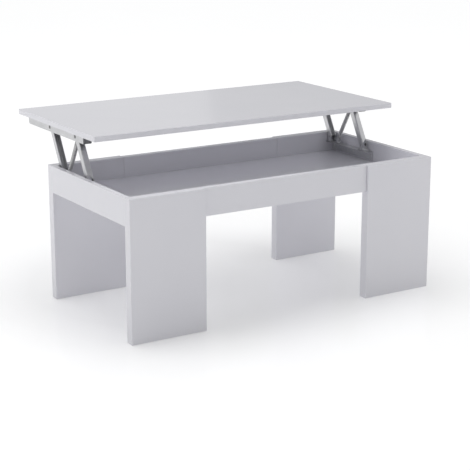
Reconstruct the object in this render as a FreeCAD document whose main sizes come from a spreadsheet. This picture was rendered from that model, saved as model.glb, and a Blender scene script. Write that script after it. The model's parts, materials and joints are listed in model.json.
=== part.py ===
import FreeCAD, Part
import os
import re

import Sketcher

# Lift top coffee table, shown with its top raised.
# Origin: centre of the base's footprint on the floor. +X along the length, +Y to the back, +Z up.
# The top rides on two parallelogram mechanisms, one at each end. At each end a front arm and a rear
# arm stand on a bracket inside the tray and carry a folded rail that is screwed under the top.

SIZES = [
    # overall
    ("table_length", 1000),
    ("table_depth", 500),
    ("base_height", 400),
    ("board_thick", 28),
    ("leg_width", 230),
    ("apron_height", 78),
    ("apron_thick", 20),
    ("seam_gap", 0.4),
    ("end_apron_thick", 16),
    ("tray_drop", 60),
    ("tray_thick", 16),
    ("top_thick", 15),
    ("top_gap", 1.5),
    ("edge_round", 0.8),
    # lift mechanism
    ("arm_reach", 131),
    ("lift_lean", 29),
    ("pivot_drop", 12.7),
    ("mech_inset", 30.5),
    ("arm_width", 18),
    ("arm_depth", 18),
    ("arm_sheet", 1.5),
    ("web_foot", 9.5),
    ("web_slant", 40),
    ("ear_sheet", 1.5),
    ("side_play", 0.3),
    ("rail_height", 25),
    ("cap_thick", 2),
    ("cap_plug", 8),
    ("cap_play", 0.1),
    ("rail_end_clear", 3.2),
    ("rear_clear", 0.7),
    ("first_pivot_set", 54),
    ("pivot_spacing", 166),
    ("pin_radius", 3),
    ("pin_play", 0.05),
    ("head_radius", 5),
    ("head_thick", 1),
    ("inner_head", 0.8),
    # bracket
    ("plate_thick", 2),
    ("shelf_height", 372),
    ("plate_foot", 343),
    ("plate_ahead", 30),
    ("plate_behind", 14),
    ("ear_radius", 7),
    ("clevis_length", 30),
    ("post_radius", 4),
    ("post_gap", 8),
    # spring
    ("coil_radius", 6.3),
    ("coil_wall", 1.5),
    ("coil_play", 0.3),
    ("hook_length", 12),
    ("wire_radius", 0.9),
    ("spring_pin", 2),
    # fittings
    ("dowel_radius", 4),
    ("dowel_length", 30),
    ("thin_dowel", 3),
    ("thin_dowel_length", 24),
    ("dowel_play", 0.05),
    ("cam_radius", 7.5),
    ("cam_height", 12),
    ("cam_inset", 24),
    ("bolt_radius", 3),
    ("thread_radius", 2.5),
    ("thread_length", 11),
    ("glide_radius", 10),
    ("glide_thick", 2),
    ("nail_radius", 1.5),
    ("nail_length", 12),
    ("bumper_radius", 5),
    ("bumper_thick", 1.3),
    ("screw_radius", 1.75),
    ("screw_head", 3.5),
    ("screw_grip", 12),
]

doc = FreeCAD.newDocument("LiftTopTable")
sheet = doc.addObject("Spreadsheet::Sheet", "Sizes")
for row, (alias, value) in enumerate(SIZES, start=1):
    sheet.set("A%d" % row, alias)
    sheet.set("B%d" % row, str(value))
    sheet.setAlias("B%d" % row, alias)
doc.recompute()

ALIASES = [alias for alias, value in SIZES]
WORD = re.compile(r"[a-z_]+")

# Places worked out from the sizes, written as expressions.
HALF_LONG = "(table_length / 2)"
HALF_DEEP = "(table_depth / 2)"
RISE = "(arm_reach * cos(lift_lean))"
LEAN_Y = "(arm_reach * sin(lift_lean))"
SHIFT = "(arm_reach * (1 + sin(lift_lean)))"
LOW_Z = "(base_height + top_gap - pivot_drop)"
HIGH_Z = "(base_height + top_gap - pivot_drop + %s)" % RISE
TOP_UNDER = "(base_height + top_gap + %s)" % RISE
REAR_WALL_Y = "(table_depth / 2 - board_thick)"
# The raised rear arm leans past the rim of the rear leg panel and stays rear_clear in front of it.
LEAN_ROOM = "((pivot_drop - top_gap) * tan(lift_lean) + arm_depth / 2 / cos(lift_lean))"
REAR_LOW_Y = "(%s - rear_clear - %s)" % (REAR_WALL_Y, LEAN_ROOM)
FRONT_LOW_Y = "(%s - pivot_spacing)" % REAR_LOW_Y
FRONT_HIGH_Y = "(%s + %s)" % (FRONT_LOW_Y, LEAN_Y)
REAR_HIGH_Y = "(%s + %s)" % (REAR_LOW_Y, LEAN_Y)
POST_Y = "(%s + arm_reach)" % FRONT_LOW_Y
SPRING_TILT = "(45 - lift_lean / 2)"
SPRING_SPAN = "(2 * arm_reach * sin(45 - lift_lean / 2))"
RAIL_FRONT_Y = "(%s - first_pivot_set)" % FRONT_HIGH_Y
# With the top down, the rail's rear end stays rail_end_clear in front of the rear leg panel.
RAIL_LENGTH = "(%s - rail_end_clear - %s + arm_reach + first_pivot_set)" % (REAR_WALL_Y, FRONT_LOW_Y)
ARM_IN = "(arm_width / 2 - arm_sheet)"
EAR_IN = "(arm_width / 2 + side_play)"
EAR_OUT = "(arm_width / 2 + side_play + ear_sheet)"
RAIL_IN = "(arm_width / 2 + 2 * side_play + ear_sheet)"
RAIL_OUT = "(arm_width / 2 + 2 * side_play + ear_sheet + arm_sheet)"
TRAY_TOP = "(base_height - tray_drop)"
TRAY_UNDER = "(base_height - tray_drop - tray_thick)"

subparts = []


def bound(text):
    """Turn size names in a formula into references to the sheet."""
    def name_of(match):
        word = match.group(0)
        return "Sizes." + word if word in ALIASES else word
    return WORD.sub(name_of, text)


def bind(thing, prop, text):
    """Tie one property of an object to a formula of the sheet's sizes."""
    thing.setExpression(prop, bound(text))


def put(thing, x, y, z):
    """Tie an object's position to three formulas."""
    bind(thing, "Placement.Base.x", x)
    bind(thing, "Placement.Base.y", y)
    bind(thing, "Placement.Base.z", z)


def turn(thing, axis, angle):
    """Turn an object about an axis by an angle formula, in degrees."""
    thing.Placement = FreeCAD.Placement(FreeCAD.Vector(0, 0, 0), FreeCAD.Rotation(axis, 30))
    bind(thing, "Placement.Rotation.Angle", angle)


def block(size, centre):
    """A box given by its three sizes and its centre."""
    box = doc.addObject("Part::Box", "Block")
    bind(box, "Length", size[0])
    bind(box, "Width", size[1])
    bind(box, "Height", size[2])
    corner = ["%s - (%s) / 2" % (middle, length) for middle, length in zip(centre, size)]
    put(box, corner[0], corner[1], corner[2])
    return box


def rod(axis, radius, length, centre):
    """A cylinder along X, Y or Z given by its radius, length and centre."""
    cylinder = doc.addObject("Part::Cylinder", "Rod")
    bind(cylinder, "Radius", radius)
    bind(cylinder, "Height", length)
    if axis == "X":
        cylinder.Placement.Rotation = FreeCAD.Rotation(FreeCAD.Vector(0, 1, 0), 90)
    if axis == "Y":
        cylinder.Placement.Rotation = FreeCAD.Rotation(FreeCAD.Vector(1, 0, 0), -90)
    start = list(centre)
    spot = "XYZ".index(axis)
    start[spot] = "%s - (%s) / 2" % (centre[spot], length)
    put(cylinder, start[0], start[1], start[2])
    return cylinder


def joined(pieces, name="Join"):
    """One fused shape from several."""
    fuse = doc.addObject("Part::MultiFuse", name)
    fuse.Shapes = pieces
    return fuse


def group(pieces, name="Group"):
    """Several loose solids kept together, such as a set of equal fasteners."""
    compound = doc.addObject("Part::Compound", name)
    compound.Links = pieces
    return compound


def cut(base, tools, name="Trim"):
    """A shape less all the tools."""
    tool = tools[0]
    if len(tools) > 1:
        tool = doc.addObject("Part::MultiFuse", "Tools")
        tool.Shapes = tools
    trim = doc.addObject("Part::Cut", name)
    trim.Base = base
    trim.Tool = tool
    return trim


def keep(thing, label, solids=1):
    """Make an object one of the table's pieces."""
    thing.Label = label
    subparts.append((label, thing, solids))
    return thing


def origin_plane(body, role):
    """The body's own plane with the given role."""
    return [plane for plane in body.Origin.OriginFeatures if plane.Role == role][0]


def outline(body, role, corners):
    """A closed sketch through corners, each corner tied to two formulas."""
    sketch = body.newObject("Sketcher::SketchObject", "Outline")
    sketch.AttachmentSupport = (origin_plane(body, role), "")
    sketch.MapMode = "FlatFace"
    probe = [(value_of(across), value_of(up)) for across, up in corners]
    count = len(corners)
    for number in range(count):
        here = FreeCAD.Vector(probe[number][0], probe[number][1], 0)
        after = probe[(number + 1) % count]
        there = FreeCAD.Vector(after[0], after[1], 0)
        sketch.addGeometry(Part.LineSegment(here, there), False)
    for number in range(count):
        sketch.addConstraint(Sketcher.Constraint("Coincident", number, 2, (number + 1) % count, 1))
    for number, (across, up) in enumerate(corners):
        spot = sketch.addConstraint(Sketcher.Constraint("DistanceX", -1, 1, number, 1, probe[number][0]))
        sketch.setExpression("Constraints[%d]" % spot, bound(across))
        spot = sketch.addConstraint(Sketcher.Constraint("DistanceY", -1, 1, number, 1, probe[number][1]))
        sketch.setExpression("Constraints[%d]" % spot, bound(up))
    return sketch


def value_of(text):
    """The present value of a formula, used to draw a sketch before it is tied."""
    scratch = sheet_probe
    scratch.setExpression("Length", bound("1000 + " + text))
    scratch.recompute()
    return scratch.Length.Value - 1000


sheet_probe = doc.addObject("Part::Box", "Probe")


def padded(name, role, corners, depth):
    """A body made by padding an outline; XZ outlines are padded toward +Y."""
    body = doc.addObject("PartDesign::Body", name)
    sketch = outline(body, role, corners)
    pad = body.newObject("PartDesign::Pad", "Pad")
    pad.Profile = sketch
    pad.Reversed = role == "XZ_Plane"
    bind(pad, "Length", depth)
    body.Tip = pad
    doc.recompute()
    return body, pad


def board(size, centre):
    """A board with slightly rounded edges, given by its three sizes and its centre."""
    wide = "(%s) / 2" % size[0]
    deep = "(%s) / 2" % size[1]
    corners = [("-" + wide, "-" + deep), (wide, "-" + deep), (wide, deep), ("-" + wide, deep)]
    body, pad = padded("Board", "XY_Plane", corners, size[2])
    rounding = body.newObject("PartDesign::Fillet", "Edges")
    rounding.Base = (pad, ["Edge%d" % number for number in range(1, 13)])
    bind(rounding, "Radius", "edge_round")
    body.Tip = rounding
    put(body, centre[0], centre[1], "%s - (%s) / 2" % (centre[2], size[2]))
    return body


# ---------------------------------------------------------------- base boards
leg_x = "(%s - leg_width / 2)" % HALF_LONG
long_y = "(%s - board_thick / 2)" % HALF_DEEP
apron_y = "(%s - board_thick + apron_thick / 2)" % HALF_DEEP
seam_x = "(%s - leg_width)" % HALF_LONG
end_x = "(%s - end_apron_thick / 2)" % HALF_LONG
wall_y = "(%s - board_thick)" % HALF_DEEP
apron_z = "(base_height - apron_height / 2)"
dowel_zs = ["(base_height - apron_height / 4)", "(base_height - 3 * apron_height / 4)"]
tray_mid = "(%s + tray_thick / 2)" % TRAY_UNDER
cam_xs = ["(-%s)" % leg_x, "(-table_length * 0.135)", "(table_length * 0.135)", leg_x]
end_cam_ys = ["(-table_depth / 5)", "(table_depth / 5)"]
glide_xs = ["(%s - leg_width / 8)" % HALF_LONG, "(%s - 7 * leg_width / 8)" % HALF_LONG]

LEG_SPOTS = [("front_left", "-", "-"), ("front_right", "", "-"),
             ("rear_left", "-", ""), ("rear_right", "", "")]
hole = "(dowel_radius + dowel_play)"
thin_hole = "(thin_dowel + dowel_play)"
thread_hole = "(thread_radius + dowel_play)"

for label, sx, sy in LEG_SPOTS:
    panel = board(("leg_width", "board_thick", "base_height - glide_thick"),
                  (sx + leg_x, sy + long_y, "(base_height + glide_thick) / 2"))
    tools = []
    for dowel_z in dowel_zs:
        tools.append(rod("X", hole, "dowel_length + 1", (sx + seam_x, sy + apron_y, dowel_z)))
        tools.append(rod("Y", thin_hole, "thin_dowel_length + 1", (sx + end_x, sy + wall_y, dowel_z)))
    for glide_x in glide_xs:
        nail = rod("Z", "nail_radius + dowel_play", "nail_length + 0.5",
                   (sx + glide_x, sy + long_y, "glide_thick + (nail_length + 0.5) / 2"))
        tools.append(nail)
    tools.append(rod("Y", thread_hole, "2 * thread_length + 1", (sx + leg_x, sy + wall_y, tray_mid)))
    keep(cut(panel, tools, "Leg"), "leg_" + label)

for label, sy in [("front", "-"), ("rear", "")]:
    long_board = board(("table_length - 2 * leg_width - 2 * seam_gap", "apron_thick", "apron_height"),
                       ("0", sy + apron_y, apron_z))
    tools = []
    for sx in ["-", ""]:
        for dowel_z in dowel_zs:
            tools.append(rod("X", hole, "dowel_length + 1", (sx + seam_x, sy + apron_y, dowel_z)))
    for cam_x in cam_xs[1:3]:
        tools.append(rod("Y", thread_hole, "2 * thread_length + 1", (cam_x, sy + wall_y, tray_mid)))
    keep(cut(long_board, tools, "LongApron"), "apron_" + label)

screw_ys = ["(%s - 18)" % FRONT_LOW_Y, "(%s + 0.4 * pivot_spacing)" % FRONT_LOW_Y, "(%s + 4)" % REAR_LOW_Y]
screw_z = "((plate_foot + shelf_height - plate_thick) / 2)"
plate_x = "(%s - end_apron_thick - plate_thick / 2)" % HALF_LONG
inner_x = "(%s - end_apron_thick)" % HALF_LONG

for label, sx in [("left", "-"), ("right", "")]:
    short_board = board(("end_apron_thick", "table_depth - 2 * board_thick", "apron_height"),
                        (sx + end_x, "0", apron_z))
    tools = []
    for sy in ["-", ""]:
        for dowel_z in dowel_zs:
            tools.append(rod("Y", thin_hole, "thin_dowel_length + 1", (sx + end_x, sy + wall_y, dowel_z)))
    for cam_y in end_cam_ys:
        tools.append(rod("X", thread_hole, "2 * thread_length + 1", (sx + inner_x, cam_y, tray_mid)))
    for screw_y in screw_ys:
        tools.append(rod("X", "screw_radius", "2 * screw_grip", (sx + inner_x, screw_y, screw_z)))
    keep(cut(short_board, tools, "EndApron"), "end_apron_" + label)

# tray floor with cam pockets in its underside
floor = board(("table_length - 2 * end_apron_thick", "table_depth - 2 * board_thick", "tray_thick"),
              ("0", "0", tray_mid))
cam_mid = "(%s + cam_height / 2)" % TRAY_UNDER
tools = []
cams = []
bolts = []


def cam_joint(axis, mouth, centre, side):
    """A cam in the tray floor and the bolt it pulls, on one side of the floor."""
    along = "XYZ".index(axis)
    pocket = rod("Z", "cam_radius + 0.1", "cam_height + 0.2",
                 (centre[0], centre[1], "%s + (cam_height + 0.2) / 2" % TRAY_UNDER))
    middle = list(mouth)
    middle[along] = "%s %s (cam_inset / 2)" % (mouth[along], "-" if side > 0 else "+")
    bore = rod(axis, "bolt_radius + 0.3", "cam_inset", tuple(middle))
    tools.append(pocket)
    tools.append(bore)
    drum = rod("Z", "cam_radius", "cam_height", (centre[0], centre[1], cam_mid))
    slot = rod(axis, "bolt_radius + 0.3", "cam_inset", tuple(middle))
    key = block(("1.2", "8", "3"), (centre[0], centre[1], TRAY_UNDER + " + 1"))
    cross = block(("8", "1.2", "3"), (centre[0], centre[1], TRAY_UNDER + " + 1"))
    cams.append(cut(drum, [slot, key, cross], "Cam"))
    reach = "(cam_inset - 1)"
    stem_mid = list(mouth)
    stem_mid[along] = "%s %s %s / 2" % (mouth[along], "-" if side > 0 else "+", reach)
    thread_mid = list(mouth)
    thread_mid[along] = "%s %s thread_length / 2" % (mouth[along], "+" if side > 0 else "-")
    stem = rod(axis, "bolt_radius", reach, tuple(stem_mid))
    thread = rod(axis, "thread_radius", "thread_length", tuple(thread_mid))
    bolts.append(joined([stem, thread], "Bolt"))


for sy, side in [("-", -1), ("", 1)]:
    for cam_x in cam_xs:
        spot_y = "(%s%s %s cam_inset)" % (sy, wall_y, "-" if side > 0 else "+")
        cam_joint("Y", (cam_x, sy + wall_y, tray_mid), (cam_x, spot_y), side)
for sx, side in [("-", -1), ("", 1)]:
    for cam_y in end_cam_ys:
        spot_x = "(%s%s %s cam_inset)" % (sx, inner_x, "-" if side > 0 else "+")
        cam_joint("X", (sx + inner_x, cam_y, tray_mid), (spot_x, cam_y), side)
keep(cut(floor, tools, "TrayFloor"), "tray_floor")
keep(group(cams), "tray_cams", len(cams))
keep(group(bolts), "tray_cam_bolts", len(bolts))

# dowels
dowels = []
thin_dowels = []
for sx in ["-", ""]:
    for sy in ["-", ""]:
        for dowel_z in dowel_zs:
            dowels.append(rod("X", "dowel_radius", "dowel_length", (sx + seam_x, sy + apron_y, dowel_z)))
            thin_dowels.append(rod("Y", "thin_dowel", "thin_dowel_length",
                                   (sx + end_x, sy + wall_y, dowel_z)))
keep(group(dowels), "apron_dowels", len(dowels))
keep(group(thin_dowels), "end_dowels", len(thin_dowels))

# foot glides, two under each leg panel
glides = []
for sx in ["-", ""]:
    for sy in ["-", ""]:
        for glide_x in glide_xs:
            disc = rod("Z", "glide_radius", "glide_thick", (sx + glide_x, sy + long_y, "glide_thick / 2"))
            nail = rod("Z", "nail_radius", "nail_length",
                       (sx + glide_x, sy + long_y, "glide_thick + nail_length / 2"))
            glides.append(joined([disc, nail], "Glide"))
keep(group(glides), "foot_glides", len(glides))

# ---------------------------------------------------------------- top
rail_screw_ys = ["(%s + 20)" % RAIL_FRONT_Y,
                 "(%s + first_pivot_set + (arm_reach + pivot_spacing) / 2)" % RAIL_FRONT_Y,
                 "(%s + %s - 7)" % (RAIL_FRONT_Y, RAIL_LENGTH)]
MECH_X = {"left": "(mech_inset - %s)" % HALF_LONG, "right": "(%s - mech_inset)" % HALF_LONG}
rail_screw_z = "(%s + screw_grip / 2 - arm_sheet / 2)" % TOP_UNDER

top = board(("table_length", "table_depth", "top_thick"), ("0", SHIFT, "%s + top_thick / 2" % TOP_UNDER))
tools = []
rail_screws = []
for side in ["left", "right"]:
    for screw_y in rail_screw_ys:
        mx = MECH_X[side]
        shank_z = "(%s - arm_sheet + screw_grip / 2)" % TOP_UNDER
        head_z = "(%s - arm_sheet - 1)" % TOP_UNDER
        tools.append(rod("Z", "screw_radius", "screw_grip", (mx, screw_y, shank_z)))
        shank = rod("Z", "screw_radius", "screw_grip", (mx, screw_y, shank_z))
        head = rod("Z", "screw_head", "2", (mx, screw_y, head_z))
        slot = block(("4.6", "0.9", "1"), (mx, screw_y, "%s - 1" % head_z))
        cross = block(("0.9", "4.6", "1"), (mx, screw_y, "%s - 1" % head_z))
        rail_screws.append(cut(joined([shank, head], "Screw"), [slot, cross], "Screw"))
keep(cut(top, tools, "Top"), "tabletop")
keep(group(rail_screws), "rail_screws", len(rail_screws))

bumpers = []
for sx in ["-", ""]:
    for sy in ["-", ""]:
        spot_y = "%s %s %s" % (SHIFT, sy if sy else "+", long_y)
        bumpers.append(rod("Z", "bumper_radius", "bumper_thick",
                           ("%s(%s - board_thick / 2)" % (sx, HALF_LONG), spot_y,
                            "%s - bumper_thick / 2" % TOP_UNDER)))
keep(group(bumpers), "top_bumpers", len(bumpers))

# ---------------------------------------------------------------- mechanism pieces


def rail(side):
    """Folded rail under the top: a channel open below, with rivet and screw holes, behind its end cap."""
    corners = [("-" + RAIL_OUT, "0"), ("-" + RAIL_IN, "0"), ("-" + RAIL_IN, "rail_height - arm_sheet"),
               (RAIL_IN, "rail_height - arm_sheet"), (RAIL_IN, "0"), (RAIL_OUT, "0"),
               (RAIL_OUT, "rail_height"), ("-" + RAIL_OUT, "rail_height")]
    body, pad = padded("Rail", "XZ_Plane", corners, "%s - cap_thick" % RAIL_LENGTH)
    mx = MECH_X[side]
    put(body, mx, "%s + cap_thick" % RAIL_FRONT_Y, "%s - rail_height" % TOP_UNDER)
    tools = []
    for spot_y in [FRONT_HIGH_Y, REAR_HIGH_Y]:
        tools.append(rod("X", "pin_radius", "2 * %s + 2" % RAIL_OUT, (mx, spot_y, HIGH_Z)))
    for screw_y in rail_screw_ys:
        tools.append(rod("Z", "screw_radius", "6", (mx, screw_y, TOP_UNDER)))
    return cut(body, tools, "RailTrim")


def rail_cap(side):
    """Moulded cap on the rail's front end: a face as large as the rail's section and a plug inside it."""
    mx = MECH_X[side]
    face = block(("2 * %s" % RAIL_OUT, "cap_thick", "rail_height"),
                 (mx, "%s + cap_thick / 2" % RAIL_FRONT_Y, "%s - rail_height / 2" % TOP_UNDER))
    plug = block(("2 * %s - 2 * cap_play" % RAIL_IN, "cap_plug", "rail_height - arm_sheet - 2 * cap_play"),
                 (mx, "%s + cap_thick + cap_plug / 2" % RAIL_FRONT_Y,
                  "%s - (rail_height + arm_sheet) / 2" % TOP_UNDER))
    return joined([face, plug], "Cap")


def arm(side, place):
    """A folded arm, built upright from its lower pivot and then leaned back."""
    face = "(arm_depth / 2 - arm_sheet / 2)"
    flange_x = "(arm_width / 2 - arm_sheet / 2)"
    pieces = []
    for sx in ["-", ""]:
        pieces.append(block(("arm_sheet", "arm_depth", "arm_reach"), (sx + flange_x, "0", "arm_reach / 2")))
        for end_z in ["0", "arm_reach"]:
            pieces.append(rod("X", "arm_depth / 2", "arm_sheet", (sx + flange_x, "0", end_z)))
    if place == "rear":
        pieces.append(block(("arm_width", "arm_sheet", "arm_reach - 9"), ("0", face, "(arm_reach - 9) / 2")))
    else:
        web = block(("arm_width", "arm_sheet", "arm_reach - 10"), ("0", "-" + face, "arm_reach / 2 - 3"))
        pieces.append(cut(web, [slant_cutter(side)], "Web"))
    shape = joined(pieces, "ArmSheet")
    holes = []
    for end_z in ["0", "arm_reach"]:
        holes.append(rod("X", "pin_radius + pin_play", "arm_width + 4", ("0", "0", end_z)))
    body = cut(shape, holes, "Arm")
    turn(body, FreeCAD.Vector(-1, 0, 0), "lift_lean")
    put(body, MECH_X[side], FRONT_LOW_Y if place == "front" else REAR_LOW_Y, LOW_Z)
    return body


def slant_cutter(side):
    """The block that trims a front arm's web on a slant, rising toward the table's end."""
    cutter = block(("4 * arm_width", "4 * arm_sheet", "arm_width"), ("0", "-arm_depth / 2", "-arm_width / 2"))
    holder = group([cutter], "Slant")
    turn(holder, FreeCAD.Vector(0, 1 if side == "left" else -1, 0), "web_slant")
    put(holder, "0", "0", "web_foot")
    return holder


def clevis(side, spot_y):
    """Two ears on a small plate that hold one arm's lower pivot."""
    mx = MECH_X[side]
    pieces = [block(("2 * %s" % EAR_OUT, "clevis_length", "ear_sheet"),
                    (mx, spot_y, "shelf_height + ear_sheet / 2"))]
    holes = []
    for sx in ["-", "+"]:
        ear_x = "%s %s (arm_width / 2 + side_play + ear_sheet / 2)" % (mx, sx)
        tall = "(%s - shelf_height)" % LOW_Z
        pieces.append(block(("ear_sheet", "2 * ear_radius", tall),
                            (ear_x, spot_y, "shelf_height + %s / 2" % tall)))
        pieces.append(rod("X", "ear_radius", "ear_sheet", (ear_x, spot_y, LOW_Z)))
    holes.append(rod("X", "pin_radius", "2 * %s + 2" % EAR_OUT, (mx, spot_y, LOW_Z)))
    return cut(joined(pieces, "Ears"), holes, "Clevis")


def bracket(side):
    """Angle bracket: a plate on the end apron and a shelf that carries the pivots."""
    sign = "-" if side == "left" else ""
    wall = "%s(mech_inset - end_apron_thick)" % sign
    inner = "%s(mech_inset - end_apron_thick - plate_thick)" % sign
    lip = "%s(-14)" % sign
    corners = [(wall, "plate_foot"), (inner, "plate_foot"), (inner, "shelf_height - plate_thick"),
               (lip, "shelf_height - plate_thick"), (lip, "shelf_height"), (wall, "shelf_height")]
    body, pad = padded("Bracket", "XZ_Plane", corners, "pivot_spacing + plate_ahead + plate_behind")
    mx = MECH_X[side]
    put(body, mx, "%s - plate_ahead" % FRONT_LOW_Y, "0")
    plate = "%s%s" % ("-" if side == "left" else "", plate_x)
    holes = []
    for screw_y in screw_ys:
        holes.append(rod("X", "screw_radius", "6", (plate, screw_y, screw_z)))
    return cut(body, holes, "BracketTrim")


def spring_post(side):
    """A small forked post that holds the lower spring pin, narrow enough to sit inside the rear arm."""
    mx = MECH_X[side]
    tall = "(%s - shelf_height)" % LOW_Z
    wide = "(post_gap + 2 * ear_sheet)"
    pieces = [block((wide, "16", "ear_sheet"), (mx, POST_Y, "shelf_height + ear_sheet / 2"))]
    for sx in ["-", "+"]:
        ear_x = "%s %s (post_gap / 2 + ear_sheet / 2)" % (mx, sx)
        pieces.append(block(("ear_sheet", "2 * post_radius", tall),
                            (ear_x, POST_Y, "shelf_height + %s / 2" % tall)))
        pieces.append(rod("X", "post_radius", "ear_sheet", (ear_x, POST_Y, LOW_Z)))
    hole = rod("X", "spring_pin", "20", (mx, POST_Y, LOW_Z))
    return cut(joined(pieces, "Fork"), [hole], "Post")


def raise_stop(side):
    """A slanted lug behind the rear arm's foot that holds the arm at its raised lean."""
    lug = block(("12", "3", "22"), ("0", "arm_depth / 2 + side_play + 1.5", "-6"))
    holder = joined([lug, block(("6", "3", "4"), ("0", "arm_depth / 2 + side_play + 1.5", "0"))], "Lug")
    turn(holder, FreeCAD.Vector(-1, 0, 0), "lift_lean")
    put(holder, MECH_X[side], REAR_LOW_Y, LOW_Z)
    below = block(("40", "80", "40"), (MECH_X[side], REAR_LOW_Y, "shelf_height + ear_sheet - 20"))
    return cut(holder, [below], "Stop")


def spring_half(side, half):
    """Half of the lift spring, built along +Z from its eye; the lower half is the outer tube."""
    pin = "spring_pin" if half == "lower" else "pin_radius"
    eye_radius = "(%s + pin_play + wire_radius)" % pin
    eye = doc.addObject("Part::Torus", "Eye")
    bind(eye, "Radius1", eye_radius)
    bind(eye, "Radius2", "wire_radius")
    eye.Placement.Rotation = FreeCAD.Rotation(FreeCAD.Vector(0, 1, 0), 90)
    hook = rod("Z", "0.85 * wire_radius", "hook_length - %s + 0.5" % eye_radius,
               ("0", "0", "(hook_length + %s + 0.5) / 2" % eye_radius))
    if half == "lower":
        coil = rod("Z", "coil_radius", "%s - 2 * hook_length" % SPRING_SPAN,
                   ("0", "0", "%s / 2" % SPRING_SPAN))
        bore_long = "(%s - 2 * hook_length)" % SPRING_SPAN
        bore = rod("Z", "coil_radius - coil_wall", bore_long, ("0", "0", "%s / 2 + 1.5" % SPRING_SPAN))
        shape = joined([eye, hook, cut(coil, [bore], "Coil")], "Spring")
        angle = SPRING_TILT
        spot = (MECH_X[side], POST_Y, LOW_Z)
    else:
        long = "(%s - 2 * hook_length - 3)" % SPRING_SPAN
        coil = rod("Z", "coil_radius - coil_wall - coil_play", long,
                   ("0", "0", "hook_length + %s / 2" % long))
        shape = joined([eye, hook, coil], "Spring")
        angle = "(180 + %s)" % SPRING_TILT
        spot = (MECH_X[side], FRONT_HIGH_Y, HIGH_Z)
    turn(shape, FreeCAD.Vector(1, 0, 0), angle)
    put(shape, spot[0], spot[1], spot[2])
    return shape


def stub(side, sx, spot_y, spot_z, outer, with_head):
    """A short rivet through one flange, its inner head flat so the spring can pass between the two."""
    mx = MECH_X[side]
    inner = "(%s - inner_head - pin_play)" % ARM_IN
    length = "(%s - %s)" % (outer, inner)
    pieces = [rod("X", "pin_radius", length,
                  ("%s %s (%s + %s / 2)" % (mx, sx, inner, length), spot_y, spot_z))]
    pieces.append(rod("X", "head_radius - 0.5", "inner_head",
                      ("%s %s (%s + inner_head / 2)" % (mx, sx, inner), spot_y, spot_z)))
    if with_head:
        pieces.append(rod("X", "head_radius", "head_thick",
                          ("%s %s (%s + head_thick / 2)" % (mx, sx, outer), spot_y, spot_z)))
    return joined(pieces, "Rivet")


for side in ["left", "right"]:
    mx = MECH_X[side]
    keep(bracket(side), "bracket_" + side)
    keep(clevis(side, FRONT_LOW_Y), "clevis_front_" + side)
    keep(clevis(side, REAR_LOW_Y), "clevis_rear_" + side)
    keep(spring_post(side), "spring_post_" + side)
    keep(raise_stop(side), "raise_stop_" + side)
    keep(arm(side, "front"), "arm_front_" + side)
    keep(arm(side, "rear"), "arm_rear_" + side)
    keep(rail(side), "rail_" + side)
    keep(spring_half(side, "lower"), "spring_lower_" + side)
    keep(spring_half(side, "upper"), "spring_upper_" + side)
    keep(rod("X", "spring_pin", "post_gap + 2 * ear_sheet", (mx, POST_Y, LOW_Z)), "spring_pin_" + side)
    keep(rod("X", "pin_radius", "2 * %s" % EAR_OUT, (mx, REAR_LOW_Y, LOW_Z)), "pivot_pin_rear_low_" + side)
    stubs = [stub(side, sx, FRONT_LOW_Y, LOW_Z, EAR_OUT, False) for sx in ["-", "+"]]
    keep(group(stubs), "pivot_rivets_front_low_" + side, 2)
    stubs = [stub(side, sx, REAR_HIGH_Y, HIGH_Z, RAIL_OUT, True) for sx in ["-", "+"]]
    keep(group(stubs), "pivot_rivets_rear_high_" + side, 2)
    pieces = [rod("X", "pin_radius", "2 * %s" % RAIL_OUT, (mx, FRONT_HIGH_Y, HIGH_Z))]
    for sx in ["-", "+"]:
        head_x = "%s %s (%s + head_thick / 2)" % (mx, sx, RAIL_OUT)
        pieces.append(rod("X", "head_radius", "head_thick", (head_x, FRONT_HIGH_Y, HIGH_Z)))
    keep(joined(pieces, "Pin"), "pivot_pin_front_high_" + side)
    rings = []
    for spot_y in [FRONT_HIGH_Y, REAR_HIGH_Y]:
        for sx in ["-", "+"]:
            ring_x = "%s %s (arm_width / 2 + %s) / 2" % (mx, sx, RAIL_IN)
            wide = "(%s - arm_width / 2 - 2 * pin_play)" % RAIL_IN
            ring = rod("X", "head_radius", wide, (ring_x, spot_y, HIGH_Z))
            bore = rod("X", "pin_radius + pin_play", "%s + 2" % wide, (ring_x, spot_y, HIGH_Z))
            rings.append(cut(ring, [bore], "Ring"))
    keep(group(rings), "pivot_spacers_" + side, len(rings))

keep(group([rail_cap(side) for side in ["left", "right"]]), "rail_end_caps", 2)

bracket_screws = []
for side, sx, flip in [("left", "-", "+"), ("right", "", "-")]:
    for screw_y in screw_ys:
        shank_x = "%s%s %s (plate_thick - screw_grip) / 2" % (sx, inner_x, flip)
        head_x = "%s%s %s (plate_thick + 1)" % (sx, inner_x, flip)
        face_x = "%s%s %s (plate_thick + 2)" % (sx, inner_x, flip)
        shank = rod("X", "screw_radius", "plate_thick + screw_grip", (shank_x, screw_y, screw_z))
        head = rod("X", "screw_head", "2", (head_x, screw_y, screw_z))
        slot = block(("1", "4.6", "0.9"), (face_x, screw_y, screw_z))
        cross = block(("1", "0.9", "4.6"), (face_x, screw_y, screw_z))
        bracket_screws.append(cut(joined([shank, head], "Screw"), [slot, cross], "Screw"))
keep(group(bracket_screws), "bracket_screws", len(bracket_screws))

doc.removeObject(sheet_probe.Name)
doc.recompute()

faults = [thing.Name for thing in doc.Objects if "Invalid" in thing.State or "Error" in thing.State]
if faults:
    raise RuntimeError("objects failed to compute: " + ", ".join(faults))
for label, thing, solids in subparts:
    shape = thing.Shape
    if shape.isNull() or not shape.isValid():
        raise RuntimeError("bad shape: " + label)
    if len(shape.Solids) != solids:
        raise RuntimeError("%s has %d solids, not %d" % (label, len(shape.Solids), solids))

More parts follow.
